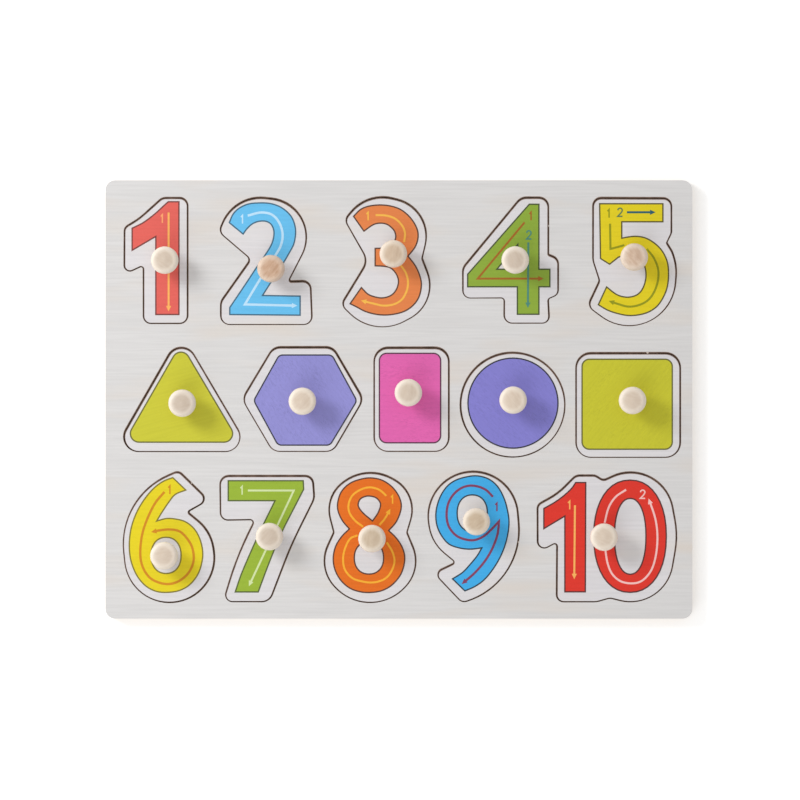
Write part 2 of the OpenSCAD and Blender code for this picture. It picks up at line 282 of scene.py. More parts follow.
def turned_wood(name, centre, grain_turn, pale, shade, stain, stain_share, rim_highlight_share):
    """Lathe-turned peg: fibres run along Z, growth rings cross the crown, and the rim is paler with a
    painted highlight.
    """
    finish = Finish(name, gloss=0.4, centre=centre)
    rings = finish.noise(PEG_RING, 2, math.radians(grain_turn), swirl=0.8)
    fibres = finish.noise(PEG_FIBRE, 3)
    blotch = finish.noise(PEG_BLOTCH, 1)
    turning = finish.noise(PEG_TURNING, 1)
    colour = finish.ramp(rings, [(0.35, pale), (0.68, shade)])
    colour = finish.mix(finish.span(fibres, 0.5, 0.8, 0, 0.4), colour, shade)
    colour = finish.mix(finish.span(blotch, 0.45, 0.7, 0, stain_share), colour, stain)
    # Painted highlight: the wood pales towards a light tone from the crown out to the rim
    rim_highlight = finish.span(finish.reach(), CROWN_REACH, RIM_REACH, 0, rim_highlight_share)
    colour = finish.mix(rim_highlight, colour, RIM_HIGHLIGHT_TONE)
    roughness = finish.span(fibres, 0.3, 0.7, 0.4, 0.56)
    return finish.done(colour, turning, PEG_RELIEF, roughness)


PLAIN_MOTTLE = 0.2
CALM_SHARE = 0.25
STARVED_TONE = tone(236, 232, 228)


def printed_ink(name, colour, grain_turn=0, mottle=PLAIN_MOTTLE):
    """Flat ink that the wood's grain dims in streaks, by up to the mottle, with starved specks."""
    finish = Finish(name, gloss=0.15)
    turn = math.radians(grain_turn)
    fine = finish.noise(FINE_GRAIN, 3, turn)
    streak = finish.noise(INK_STREAK, 3, turn, swirl=1.2)
    patch = finish.noise(INK_PATCH, 1, turn)
    speck = finish.noise(SPECK, 2)
    worn = finish.ramp(fine, [(0.28, shaded(colour, 0.94)), (0.6, colour)])
    streaky = finish.ramp(streak, [(0.3, shaded(colour, 0.74)), (0.5, colour), (0.7, shaded(colour, 1.1))])
    worn = finish.mix(finish.span(patch, 0.35, 0.7, CALM_SHARE * mottle, mottle), worn, streaky)
    worn = finish.mix(finish.span(speck, 0.62, 0.85, 0, 0.12), worn, STARVED_TONE)
    roughness = finish.span(fine, 0.3, 0.7, 0.62, 0.5)
    return finish.done(worn, streak, INK_RELIEF + MOTTLE_RELIEF * mottle, roughness)


def burn_mark(name, brown, black):
    """Browning that a hot cutter leaves along the top of a cut, also laid as painted shade beside and over
    the gap above each piece.
    """
    finish = Finish(name, gloss=0.2)
    patches = finish.noise(BURN_PATCH, 3)
    grain = finish.noise(BURN_GRAIN, 2)
    colour = finish.ramp(patches, [(0.3, black), (0.7, brown)])
    colour = finish.mix(finish.span(grain, 0.5, 0.8, 0, 0.5), colour, black)
    roughness = finish.span(patches, 0.3, 0.7, 0.75, 0.62)
    return finish.done(colour, grain, BURN_RELIEF, roughness)


board_paint = painted_wood("board_paint", tone(222, 220, 219), tone(215, 213, 212), tone(222, 212, 202))
piece_paint = painted_wood("piece_paint", tone(225, 222, 224), tone(218, 215, 217), tone(224, 218, 212))
bare_veneer = bare_wood("bare_veneer", tone(214, 188, 152), tone(190, 158, 118), tone(140, 104, 70))
cut_edge = layered_edge(
    "cut_edge", tone(216, 192, 156), tone(166, 128, 90), tone(96, 66, 44), tone(232, 216, 190),
)
scorch = scorched_edge("scorch", tone(84, 54, 38), tone(38, 24, 18), tone(128, 88, 60))
burn_and_shade = burn_mark("burn_and_shade", tone(152, 126, 114), tone(112, 88, 78))


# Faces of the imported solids

# A wall this near to the board's outside belongs to its outer edge
EDGE_BAND = 5.4 * MM
# A wall this near to a peg's axis belongs to the peg's hole
BORE_REACH = 3 * MM
# A face is level when its normal rises or falls by more than this
LEVEL = 0.5


def dress(node, materials, choice):
    """Gives a node its materials, and each of its faces the one that choice names by its index."""
    mesh = nodes[node].data
    mesh.materials.clear()
    for material in materials:
        mesh.materials.append(material)
    for face in mesh.polygons:
        face.material_index = choice(face)


board_low, board_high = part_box("top_board")


def sheet_face(face):
    """Top 0, underside 1, outer edge 2, wall of a cut-out 3."""
    if face.normal.z > LEVEL:
        return 0
    if face.normal.z < -LEVEL:
        return 1
    near_side = min(face.center.x - board_low.x, board_high.x - face.center.x) < EDGE_BAND
    near_end = min(face.center.y - board_low.y, board_high.y - face.center.y) < EDGE_BAND
    return 2 if near_side or near_end else 3


def piece_face(name):
    """Top 0, bare underside and peg hole 1, scorched side 2."""
    low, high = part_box("peg_" + name)
    axis = (low + high) / 2

    def choice(face):
        if face.normal.z > LEVEL:
            return 0
        reach = math.hypot(face.center.x - axis.x, face.center.y - axis.y)
        if face.normal.z < -LEVEL or reach < BORE_REACH:
            return 1
        return 2

    return choice


dress("top_board", [board_paint, bare_veneer, cut_edge, scorch], sheet_face)
dress("backing_board", [bare_veneer, cut_edge], lambda face: 0 if abs(face.normal.z) > LEVEL else 1)
for name in PIECES:
    dress("piece_" + name, [piece_paint, bare_veneer, scorch], piece_face(name))

# Pale tone, shade and stain of a peg's wood, then the shares of the stain and of the rim's painted highlight
PALE_PEG = (tone(217, 201, 184), tone(209, 191, 172), tone(202, 181, 158), 0.3, 0.75)
PEG_TONES = {
    "two": (tone(213, 181, 155), tone(190, 151, 122), tone(190, 150, 122), 0.4, 0.38),
    "three": (tone(214, 192, 168), tone(203, 178, 153), tone(196, 170, 142), 0.4, 0.6),
    "five": (tone(218, 194, 173), tone(200, 171, 146), tone(172, 134, 106), 0.5, 0.5),
    "eight": (tone(213, 194, 170), tone(203, 182, 156), tone(196, 172, 144), 0.4, 0.7),
    "nine": (tone(210, 191, 167), tone(198, 176, 150), tone(190, 164, 134), 0.4, 0.7),
}
PEG_LIGHT_SHARES = {
    "one": 0.985, "four": 0.96, "five": 1.07, "six": 1.03, "seven": 0.94, "eight": 0.97, "ten": 1.085,
    "triangle": 0.92, "hexagon": 1.07, "circle": 1.09, "square": 1.06,
}
PEG_TURNS = {"one": -40, "two": 48, "five": -52, "nine": 30}
PEG_TURN_STEP = 37

for place, name in enumerate(PIECES):
    low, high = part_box("peg_" + name)
    middle = (low + high) / 2
    grain_turn = PEG_TURNS.get(name, PEG_TURN_STEP * place)
    pale, shade, stain, stain_share, rim_highlight_share = PEG_TONES.get(name, PALE_PEG)
    tones = [shaded(colour, PEG_LIGHT_SHARES.get(name, 1)) for colour in (pale, shade, stain)]
    wood = turned_wood("peg_wood_" + name, middle, grain_turn, *tones, stain_share, rim_highlight_share)
    dress("peg_" + name, [wood], lambda face: 0)


# Prints: outlines and strokes as shares of a frame that lies about on its piece's box.
# In a path, a point is a corner and a list of points is a smooth run.
# The frame is given by left, bottom, width and height, in shares of that box.
# The line is the share of the ink's light that its dark outline keeps.
# A stroke has its ink, its path and whether it ends in an arrow head. A digit has its ink, value and middle.

def oval(left, right, low, high, fullness=2.2, count=40):
    """Closed round outline that fills a box; a fullness above 2 squares it up."""
    path = []
    for step in range(count):
        angle = 2 * math.pi * step / count
        across = math.copysign(abs(math.cos(angle)) ** (2 / fullness), math.cos(angle))
        along = math.copysign(abs(math.sin(angle)) ** (2 / fullness), math.sin(angle))
        x = (left + right) / 2 + across * (right - left) / 2
        y = (low + high) / 2 + along * (high - low) / 2
        path.append((x, y))
    return path


INKS = {
    "amber": tone(252, 183, 100),
    "peach": tone(252, 166, 112),
    "pale_blue": tone(192, 229, 252),
    "yellow": tone(248, 190, 82),
    "rust": tone(168, 104, 42),
    "teal": tone(82, 140, 124),
    "olive": tone(150, 152, 30),
    "slate": tone(50, 98, 108),
    "moss": tone(104, 130, 84),
    "orange": tone(212, 140, 38),
    "pale_green": tone(216, 231, 172),
    "gold": tone(249, 180, 56),
    "maroon": tone(134, 68, 98),
    "rose": tone(250, 200, 196),
}

PRINTS = {
    "one": {
        "frame": (-0.004, -0.008, 1.004, 1.014),
        "ink": tone(229, 103, 94),
        "line": 0.22,
        "outlines": [[
            (0.87, 0.97), (0.87, 0.075), (0.50, 0.075), (0.50, 0.695), (0.12, 0.585),
            [(0.12, 0.76), (0.30, 0.805), (0.50, 0.88), (0.62, 0.935), (0.70, 0.97)],
        ]],
        "strokes": [("amber", [(0.705, 0.885), (0.705, 0.10)], True)],
        "digits": [("peach", 1, (0.60, 0.835))],
    },
    "two": {
        "frame": (-0.012, 0.001, 1.021, 1.01),
        "ink": tone(107, 194, 241),
        "guide": 1.2 * MM,
        "line": 0.22,
        "outlines": [[
            [(0.10, 0.80), (0.14, 0.865), (0.20, 0.91), (0.30, 0.945), (0.42, 0.955), (0.55, 0.95),
             (0.65, 0.925), (0.72, 0.89), (0.78, 0.84), (0.815, 0.77), (0.82, 0.71), (0.80, 0.63),
             (0.75, 0.56), (0.69, 0.485)],
            (0.46, 0.225), (0.87, 0.22), (0.87, 0.07), (0.105, 0.075), (0.105, 0.13), (0.30, 0.34),
            [(0.39, 0.44), (0.49, 0.545), (0.56, 0.63), (0.585, 0.70), (0.58, 0.75), (0.55, 0.79),
             (0.50, 0.81), (0.42, 0.81), (0.35, 0.79), (0.29, 0.75), (0.25, 0.71)],
        ]],
        "strokes": [("pale_blue", [
            [(0.30, 0.855), (0.45, 0.88), (0.57, 0.86), (0.65, 0.79), (0.68, 0.70), (0.66, 0.62),
             (0.60, 0.54), (0.44, 0.36), (0.27, 0.155)],
            (0.84, 0.145)], True)],
        "digits": [("pale_blue", 1, (0.24, 0.825))],
    },
    "three": {
        "frame": (-0.002, 0.008, 1.012, 1.001),
        "ink": tone(231, 134, 77),
        "line": 0.1,
        "outlines": [[
            [(0.115, 0.85), (0.20, 0.905), (0.30, 0.93), (0.45, 0.938), (0.60, 0.92), (0.70, 0.885),
             (0.80, 0.815), (0.855, 0.74), (0.86, 0.68), (0.83, 0.615), (0.745, 0.54)],
            [(0.745, 0.54), (0.83, 0.465), (0.88, 0.39), (0.90, 0.32), (0.87, 0.22), (0.80, 0.155),
             (0.70, 0.11), (0.55, 0.085), (0.40, 0.085), (0.25, 0.11), (0.15, 0.145), (0.075, 0.17)],
            [(0.205, 0.295), (0.28, 0.245), (0.35, 0.225), (0.45, 0.215), (0.55, 0.235), (0.61, 0.28),
             (0.635, 0.345), (0.61, 0.40), (0.55, 0.445), (0.48, 0.46), (0.365, 0.465)],
            [(0.365, 0.60), (0.47, 0.605), (0.56, 0.63), (0.602, 0.68), (0.592, 0.73), (0.55, 0.765),
             (0.50, 0.788), (0.43, 0.797), (0.35, 0.787), (0.235, 0.735)],
        ]],
        "strokes": [
            ("yellow", [[(0.37, 0.86), (0.50, 0.855), (0.60, 0.83), (0.68, 0.775), (0.71, 0.72),
                         (0.70, 0.65)]], False),
            ("yellow", [[(0.66, 0.47), (0.72, 0.41), (0.745, 0.34), (0.73, 0.27), (0.67, 0.20),
                         (0.58, 0.165), (0.46, 0.155), (0.35, 0.17), (0.20, 0.195)]], True),
        ],
        "digits": [("yellow", 1, (0.28, 0.85))],
    },
    "four": {
        "frame": (-0.011, -0.0065, 1.016, 1.006),
        "ink": tone(144, 173, 63),
        "line": 0.15,
        "outlines": [
            [(0.70, 0.955), (0.80, 0.955), (0.80, 0.435), (0.915, 0.435), (0.915, 0.295), (0.80, 0.295),
             (0.80, 0.075), (0.575, 0.075), (0.575, 0.295), (0.055, 0.295), (0.055, 0.395)],
            [(0.58, 0.635), (0.36, 0.435), (0.58, 0.435)],
        ],
        "strokes": [
            ("rust", [(0.65, 0.81), (0.16, 0.36), (0.85, 0.36)], True),
            ("teal", [(0.69, 0.65), (0.685, 0.125)], True),
        ],
        "digits": [("rust", 1, (0.715, 0.86)), ("teal", 2, (0.695, 0.71))],
    },
    "five": {
        "frame": (-0.007, 0.003, 1.015, 1.002),
        "ink": tone(230, 210, 36),
        "guide": 1.05 * MM,
        "line": 0.1,
        "outlines": [[
            (0.115, 0.957), (0.845, 0.957), (0.845, 0.815), (0.37, 0.815),
            [(0.37, 0.685), (0.45, 0.695), (0.53, 0.70), (0.63, 0.69), (0.73, 0.655), (0.83, 0.59),
             (0.895, 0.50), (0.91, 0.40), (0.895, 0.30), (0.85, 0.22), (0.78, 0.15), (0.70, 0.11),
             (0.60, 0.085), (0.45, 0.075), (0.30, 0.095), (0.20, 0.12), (0.10, 0.16)],
            [(0.195, 0.30), (0.30, 0.245), (0.37, 0.225), (0.46, 0.22), (0.55, 0.24), (0.61, 0.285),
             (0.65, 0.38), (0.63, 0.475), (0.58, 0.525), (0.50, 0.555), (0.42, 0.555), (0.33, 0.535)],
            (0.23, 0.48), (0.125, 0.525),
        ]],
        "strokes": [
            ("olive", [(0.235, 0.80), (0.24, 0.60), (0.40, 0.63)], False),
            ("olive", [[(0.66, 0.60), (0.74, 0.53), (0.79, 0.44), (0.79, 0.36), (0.75, 0.27), (0.68, 0.20),
                        (0.58, 0.16), (0.45, 0.145), (0.33, 0.165), (0.22, 0.19)]], True),
            ("slate", [(0.43, 0.89), (0.76, 0.89)], True),
        ],
        "digits": [("olive", 1, (0.22, 0.88)), ("moss", 2, (0.35, 0.89))],
    },
    "six": {
        "frame": (-0.015, -0.001, 1.03, 1.004),
        "ink": tone(233, 213, 39),
        "guide": 1.2 * MM,
        "line": 0.25,
        "outlines": [
            [[(0.545, 0.96), (0.45, 0.935), (0.35, 0.885), (0.25, 0.805), (0.16, 0.70), (0.10, 0.585),
              (0.075, 0.46), (0.085, 0.345), (0.12, 0.26), (0.18, 0.18), (0.27, 0.115), (0.38, 0.08),
              (0.50, 0.075), (0.62, 0.09), (0.73, 0.135), (0.82, 0.22), (0.865, 0.33), (0.865, 0.41),
              (0.83, 0.50), (0.77, 0.57), (0.68, 0.62), (0.58, 0.64), (0.48, 0.645), (0.37, 0.625)],
             [(0.42, 0.685), (0.50, 0.77), (0.57, 0.83), (0.685, 0.865)]],
            oval(0.31, 0.635, 0.22, 0.50),
        ],
        "strokes": [("orange", [
            [(0.455, 0.85), (0.36, 0.77), (0.28, 0.66), (0.22, 0.54), (0.195, 0.42), (0.20, 0.32),
             (0.24, 0.24), (0.31, 0.18), (0.42, 0.145), (0.52, 0.14), (0.62, 0.165), (0.72, 0.23),
             (0.77, 0.32), (0.755, 0.42), (0.70, 0.49), (0.62, 0.545), (0.52, 0.56), (0.42, 0.555),
             (0.31, 0.54)]], True)],
        "digits": [("orange", 1, (0.51, 0.865))],
    },
    "seven": {
        "frame": (0.001, -0.007, 1.011, 1.018),
        "ink": tone(156, 184, 60),
        "line": 0.22,
        "outlines": [[
            (0.080, 0.957), (0.88, 0.957),
            [(0.885, 0.89), (0.77, 0.725), (0.66, 0.565), (0.57, 0.41), (0.48, 0.24), (0.40, 0.08)],
            [(0.155, 0.08), (0.22, 0.22), (0.375, 0.485), (0.46, 0.62), (0.58, 0.80)],
            (0.080, 0.80),
        ]],
        "strokes": [("pale_green", [(0.29, 0.88), (0.78, 0.88), (0.30, 0.125)], True)],
        "digits": [("pale_green", 1, (0.225, 0.88))],
    },
    "eight": {
        "frame": (-0.002, 0.0, 1.011, 1.009),
        "ink": tone(232, 114, 34),
        "line": 0.1,
        "outlines": [
            [[(0.70, 0.551), (0.786, 0.622), (0.839, 0.733), (0.818, 0.807), (0.744, 0.884), (0.629, 0.94),
              (0.502, 0.958), (0.387, 0.947), (0.271, 0.914), (0.181, 0.851), (0.14, 0.762), (0.145, 0.703),
              (0.192, 0.629), (0.269, 0.564)],
             [(0.269, 0.564), (0.187, 0.507), (0.119, 0.43), (0.092, 0.341), (0.108, 0.256), (0.171, 0.171),
              (0.271, 0.108), (0.387, 0.079), (0.492, 0.073), (0.618, 0.086), (0.729, 0.127), (0.829, 0.208),
              (0.87, 0.29), (0.876, 0.356), (0.844, 0.43), (0.776, 0.50), (0.70, 0.551)]],
            [[(0.523, 0.625), (0.408, 0.696), (0.366, 0.744), (0.381, 0.788), (0.429, 0.812), (0.492, 0.818),
              (0.566, 0.803), (0.608, 0.766), (0.61, 0.74), (0.581, 0.685), (0.523, 0.625)]],
            oval(0.323, 0.645, 0.215, 0.465),
        ],
        "strokes": [
            ("gold", [[(0.675, 0.82), (0.60, 0.865), (0.50, 0.885), (0.40, 0.87), (0.30, 0.82), (0.26, 0.75),
                       (0.27, 0.69), (0.33, 0.63), (0.42, 0.58)]], False),
            ("gold", [[(0.68, 0.46), (0.74, 0.39), (0.765, 0.32), (0.74, 0.25), (0.68, 0.19), (0.60, 0.16),
                       (0.50, 0.15), (0.40, 0.16), (0.30, 0.185), (0.22, 0.25), (0.20, 0.33), (0.22, 0.41),
                       (0.28, 0.49), (0.36, 0.515)]], False),
            ("gold", [[(0.60, 0.595), (0.66, 0.645), (0.72, 0.72)]], True),
        ],
        "digits": [("gold", 1, (0.74, 0.79))],
    },
    "nine": {
        "frame": (-0.001, 0.007, 1.025, 1.004),
        "ink": tone(69, 176, 236),
        "guide": 1.2 * MM,
        "line": 0.05,
        "outlines": [
            [[(0.58, 0.405), (0.53, 0.345), (0.45, 0.275), (0.37, 0.215), (0.26, 0.165)],
             [(0.395, 0.072), (0.50, 0.105), (0.60, 0.155), (0.70, 0.24), (0.79, 0.35), (0.85, 0.47),
              (0.875, 0.60), (0.86, 0.69), (0.82, 0.79), (0.75, 0.88), (0.66, 0.935), (0.55, 0.96),
              (0.46, 0.96), (0.30, 0.93), (0.20, 0.88), (0.12, 0.79), (0.08, 0.68), (0.09, 0.58),
              (0.14, 0.50), (0.22, 0.435), (0.33, 0.405), (0.45, 0.395), (0.58, 0.405)]],
            oval(0.31, 0.64, 0.53, 0.815),
        ],
        "strokes": [("maroon", [
            [(0.70, 0.80), (0.62, 0.855), (0.50, 0.885), (0.40, 0.88), (0.30, 0.84), (0.22, 0.76),
             (0.195, 0.66), (0.22, 0.57), (0.30, 0.50), (0.40, 0.47), (0.50, 0.465), (0.60, 0.495),
             (0.68, 0.545), (0.73, 0.582)],
            (0.765, 0.61),
            [(0.762, 0.57), (0.75, 0.51), (0.70, 0.41), (0.62, 0.31), (0.50, 0.21), (0.36, 0.125)]], True)],
        "digits": [("maroon", 1, (0.74, 0.72))],
    },
    "ten": {
        "frame": (-0.004, -0.005, 1.004, 1.013),
        "ink": tone(226, 58, 46),
        "line": 0.1,
        "outlines": [
            [(0.348, 0.92), (0.345, 0.078), (0.197, 0.078), (0.197, 0.662), (0.045, 0.565),
             [(0.045, 0.72), (0.13, 0.772), (0.20, 0.828), (0.25, 0.88), (0.275, 0.92)]],
            oval(0.406, 0.931, 0.074, 0.939),
            oval(0.556, 0.784, 0.213, 0.798),
        ],
        "strokes": [
            ("amber", [(0.27, 0.745), (0.265, 0.175)], True),
            ("rose", [[(0.64, 0.865), (0.565, 0.81), (0.515, 0.73), (0.485, 0.61)]], False),
            ("rose", [[(0.49, 0.40), (0.507, 0.295), (0.54, 0.215), (0.60, 0.16), (0.68, 0.143),
                       (0.75, 0.16), (0.817, 0.235), (0.853, 0.345), (0.867, 0.50), (0.852, 0.64),
                       (0.803, 0.797)]], True),
        ],
        "digits": [("amber", 1, (0.23, 0.745)), ("rose", 2, (0.76, 0.83))],
    },
    "triangle": {
        "frame": (-0.009, 0.002, 1.005, 1.0),
        "ink": tone(205, 202, 61),
        "line": 0.22,
        "grain_turn": 15,
        "mottle": 0.12,
        "discs": [(0.131, 0.17), (0.869, 0.17), (0.495, 0.88)],
        "radius": 4.4 * MM,
    },
    "hexagon": {
        "frame": (0.004, -0.004, 0.997, 1.01),
        "ink": tone(149, 146, 212),
        "line": 0.06,
        "grain_turn": -55,
        "discs": [(0.315, 0.12), (0.705, 0.12), (0.906, 0.49), (0.72, 0.87), (0.325, 0.87), (0.134, 0.49)],
        "radius": 3.1 * MM,
        "mottle": 0.7,
    },
    "rectangle": {
        "frame": (-0.021, -0.004, 1.044, 1.016),
        "ink": tone(228, 104, 177),
        "line": 0.1,
        "mottle": 0.6,
        "discs": [(0.176, 0.153), (0.786, 0.153), (0.786, 0.874), (0.176, 0.874)],
        "radius": 3.7 * MM,
    },
    "circle": {
        "frame": (-0.012, -0.009, 1.028, 1.023),
        "ink": tone(136, 131, 209),
        "line": 0.04,
        "grain_turn": -45,
        "discs": [(0.50, 0.515)],
        "radius": 23.0 * MM,
        "mottle": 0.6,
    },
    "square": {
        "frame": (-0.006, -0.005, 1.02, 1.02),
        "ink": tone(203, 200, 54),
        "line": 0.2,
        "grain_turn": 50,
        "discs": [(0.127, 0.148), (0.848, 0.148), (0.848, 0.867), (0.127, 0.867)],
        "radius": 3.7 * MM,
        "mottle": 0.5,
    },
}

DIGIT_PATHS = {
    1: [(-0.16, 0.28), (0.04, 0.5), (0.04, -0.5)],
    2: [[(-0.27, 0.24), (-0.20, 0.42), (0.0, 0.5), (0.20, 0.42), (0.27, 0.24), (0.17, 0.0), (-0.28, -0.5)],
        (0.30, -0.5)],
}

LINE_WIDTH = 0.7 * MM
LINE_LIGHT = 0.03
STROKE_WIDTH = 1.0 * MM
DIGIT_WIDTH = 0.7 * MM
DIGIT_HEIGHT = 4.2 * MM
HEAD_LENGTH = 2.8 * MM
HEAD_WIDTH = 2.6 * MM
BURN_WIDTH = 0.32 * MM
# The lip is painted shade: a dark strip out over the gap, widest along the gap above each piece
SHADE_LIP = 0.12 * MM
BURN_HEIGHT = 0.02 * MM
BURN_CHANGE = 12 * MM
# Share of the burn's full width at the sides of a cut, and its changes towards the gap above each piece
# (painted shade), at both ends of that direction, and along the cut
BURN_SHARE = 0.55
BURN_SHADE_LEAN = 0.25
BURN_ENDS = 0.1
BURN_WAVER = 0.2
SINK = 0.03 * MM
FILL_HEIGHT = 0.03 * MM
LINE_HEIGHT = 0.05 * MM
STROKE_HEIGHT = 0.06 * MM
STROKE_STEP = 0.01 * MM
RUN_STEPS = 6
DISC_STEPS = 10
CIRCLE_STEPS = 72
MITRE_LIMIT = 2.8
SAME_POINT = 0.01 * MM
CORNER_DIGITS = 7


def smooth_run(points):
    """Points along a smooth curve through the given ones."""
    padded = [2 * points[0] - points[1]] + points + [2 * points[-1] - points[-2]]
    path = []
    for before, start, end, after in zip(padded, padded[1:], padded[2:], padded[3:]):
        start_time = (start - before).length ** 0.5
        end_time = start_time + (end - start).length ** 0.5
        after_time = end_time + (after - end).length ** 0.5
        for step in range(RUN_STEPS):
            time = start_time + (end_time - start_time) * step / RUN_STEPS
            share = (time - start_time) / (end_time - start_time)
            arriving = before.lerp(start, time / start_time)
            between = start.lerp(end, share)
            leaving = end.lerp(after, (time - end_time) / (after_time - end_time))
            early = arriving.lerp(between, time / end_time)
            late = between.lerp(leaving, (time - start_time) / (after_time - start_time))
            path.append(early.lerp(late, share))
    return path + [points[-1]]


def trace(path, place, closed):
    """A path's corners and smooth runs as one list of points in metres."""
    points = []
    for part in path:
        if isinstance(part, list):
            points += smooth_run([place(point) for point in part])
        else:
            points.append(place(part))
    kept = []
    for point in points:
        if not kept or (point - kept[-1]).length > SAME_POINT:
            kept.append(point)
    if closed and (kept[0] - kept[-1]).length <= SAME_POINT:
        kept.pop()
    return kept


def disc_belt(centres, radius):
    """Outline of a belt round equal discs that are listed anticlockwise."""
    if len(centres) == 1:
        turns = [2 * math.pi * step / CIRCLE_STEPS for step in range(CIRCLE_STEPS)]
        return [centres[0] + radius * Vector((math.cos(turn), math.sin(turn))) for turn in turns]
    path = []
    for before, centre, after in zip(centres[-1:] + centres[:-1], centres, centres[1:] + centres[:1]):
        start = math.atan2((centre - before).y, (centre - before).x) - math.pi / 2
        end = math.atan2((after - centre).y, (after - centre).x) - math.pi / 2
        sweep = (end - start) % (2 * math.pi)
        for step in range(DISC_STEPS + 1):
            turn = start + sweep * step / DISC_STEPS
            path.append(centre + radius * Vector((math.cos(turn), math.sin(turn))))
    return path


def sides(points, half, closed):
    """The two edges of a stroke, half a width to the left and to the right of its path."""
    left = []
    right = []
    count = len(points)
    for index, point in enumerate(points):
        before = points[index - 1] if closed or index > 0 else point
        after = points[(index + 1) % count] if closed or index + 1 < count else point
        into = (point - before) if (point - before).length > 0 else (after - point)
        out = (after - point) if (after - point).length > 0 else (point - before)
        into_left = Vector((-into.y, into.x)).normalized()
        out_left = Vector((-out.y, out.x)).normalized()
        bisector = (into_left + out_left).normalized()
        reach = half / max(bisector.dot(into_left), 1 / MITRE_LIMIT)
        left.append(point + reach * bisector)
        right.append(point - reach * bisector)
    return left, right


def arrow(points, width):
    """Outline of a stroke that ends in an arrow head."""
    tip = points[-1]
    shaft = [point for point in points if (point - tip).length > HEAD_LENGTH]
    ahead = (tip - shaft[-1]).normalized()
    base = tip - HEAD_LENGTH * ahead
    shaft.append(base)
    left, right = sides(shaft, width / 2, False)
    across = Vector((-ahead.y, ahead.x)) * HEAD_WIDTH / 2
    return left + [base + across, tip, base - across] + right[::-1]


def stroke(points, width):
    """Outline of a plain stroke."""
    left, right = sides(points, width / 2, False)
    return left + right[::-1]


face_height = board_high.z


def thin_solid(name, islands, top, material, body, sink=SINK):
    """Thin closed solid on the faces, from islands that are lists of outlines with any holes."""
    mesh = bpy.data.meshes.new(name)
    shape = bmesh.new()
    for outlines in islands:
        edges = []
        for outline in outlines:
            corners = [shape.verts.new((point.x, point.y, face_height - sink)) for point in outline]
            for first, second in zip(corners, corners[1:] + corners[:1]):
                edges.append(shape.edges.new((first, second)))
        bmesh.ops.triangle_fill(shape, use_beauty=True, edges=edges, normal=(0, 0, 1))
    raised = bmesh.ops.extrude_face_region(shape, geom=shape.faces[:], use_keep_orig=True)
    lifted = [item for item in raised["geom"] if isinstance(item, bmesh.types.BMVert)]
    bmesh.ops.translate(shape, verts=lifted, vec=(0, 0, sink + top))
    bmesh.ops.recalc_face_normals(shape, faces=shape.faces[:])
    shape.to_mesh(mesh)
    shape.free()
    mesh.materials.append(material)
    solid = bpy.data.objects.new(name, mesh)
    bpy.context.collection.objects.link(solid)
    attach(solid, body)


def top_loops(node):
    """Outlines of a node's top face, each with the face on its left, the longest one first."""
    mesh = nodes[node].data
    open_edges = {}
    for face in mesh.polygons:
        if face.normal.z > LEVEL:
            corners = [mesh.vertices[index].co.xy for index in face.vertices]
            corners = [tuple(round(value, CORNER_DIGITS) for value in corner) for corner in corners]
            for first, second in zip(corners, corners[1:] + corners[:1]):
                if (second, first) in open_edges:
                    del open_edges[(second, first)]
                else:
                    open_edges[(first, second)] = True
    following = dict(open_edges.keys())
    loops = []
    while following:
        first, point = following.popitem()
        loop = [first]
        while point != first:
            loop.append(point)
            point = following.pop(point)
        loops.append([Vector(corner) for corner in loop])
    lengths = [sum((b - a).length for a, b in zip(loop, loop[1:] + loop[:1])) for loop in loops]
    order = sorted(range(len(loops)), key=lambda index: -lengths[index])
    return [loops[index] for index in order]


def burn_and_shade_band(outline, shade_direction):
    """The browned strip beside a cut, with a dark lip over the gap: both are widest towards the given
    direction, where the extra width and the lip are painted shade.
    """
    inner = []
    outer = []
    for point, moved in zip(outline, sides(outline, BURN_WIDTH, True)[0]):
        inward = (moved - point).normalized()
        towards = inward.dot(shade_direction)
        change = noise.noise(Vector((point.x, point.y, 0)) / BURN_CHANGE)
        share = BURN_SHARE + BURN_SHADE_LEAN * towards + BURN_ENDS * towards ** 2 + BURN_WAVER * change
        inner.append(point.lerp(moved, share))
        outer.append(point - inward * SHADE_LIP * (1 + towards) / 2)
    return [outer, inner]


# Bands widen along the gap above each piece: painted shade from the light at the upper left
UPWARD = Vector((0, 1))
board_loops = top_loops("top_board")[1:]
board_cuts = [burn_and_shade_band(outline, UPWARD) for outline in board_loops]
thin_solid("burn_and_shade_board", board_cuts, BURN_HEIGHT, burn_and_shade, "board")
for name in PIECES:
    piece_cut = burn_and_shade_band(top_loops("piece_" + name)[0], -UPWARD)
    thin_solid("burn_and_shade_" + name, [piece_cut], BURN_HEIGHT, burn_and_shade, name)


# Pale nicks: broken stubs of the bridges that held a piece in the sheet.
# Each has its piece, a spot near it in shares of the piece's box, and its size.
NICKS = [
    ("four", (0.90, 0.78), 1.0 * MM),
    ("six", (0.76, 0.925), 1.0 * MM),
    ("nine", (0.98, 0.46), 1.2 * MM),
    ("square", (0.69, 1.01), 1.6 * MM),
]
NICK_SHAPE = [(-0.45, 0.0), (-0.25, 0.3), (0.05, 0.38), (0.2, 0.28), (0.4, 0.0)]
NICK_HEIGHT = 0.03 * MM
NICK_DEPTH = 1.0 * MM


def nick(spot, size):
    """Outline of a stub on the wall of a cut-out, at the place on it that is nearest to a spot."""
    least = math.inf
    for loop in board_loops:
        for first, second in zip(loop, loop[1:] + loop[:1]):
            edge = second - first
            share = min(max((spot - first).dot(edge) / edge.length_squared, 0), 1)
            place = first + share * edge
            distance = (place - spot).length
            if distance < least:
                least = distance
                foot = place
                along = edge.normalized()
    into_gap = Vector((along.y, -along.x))
    return [foot + size * (x * along + y * into_gap) for x, y in NICK_SHAPE]


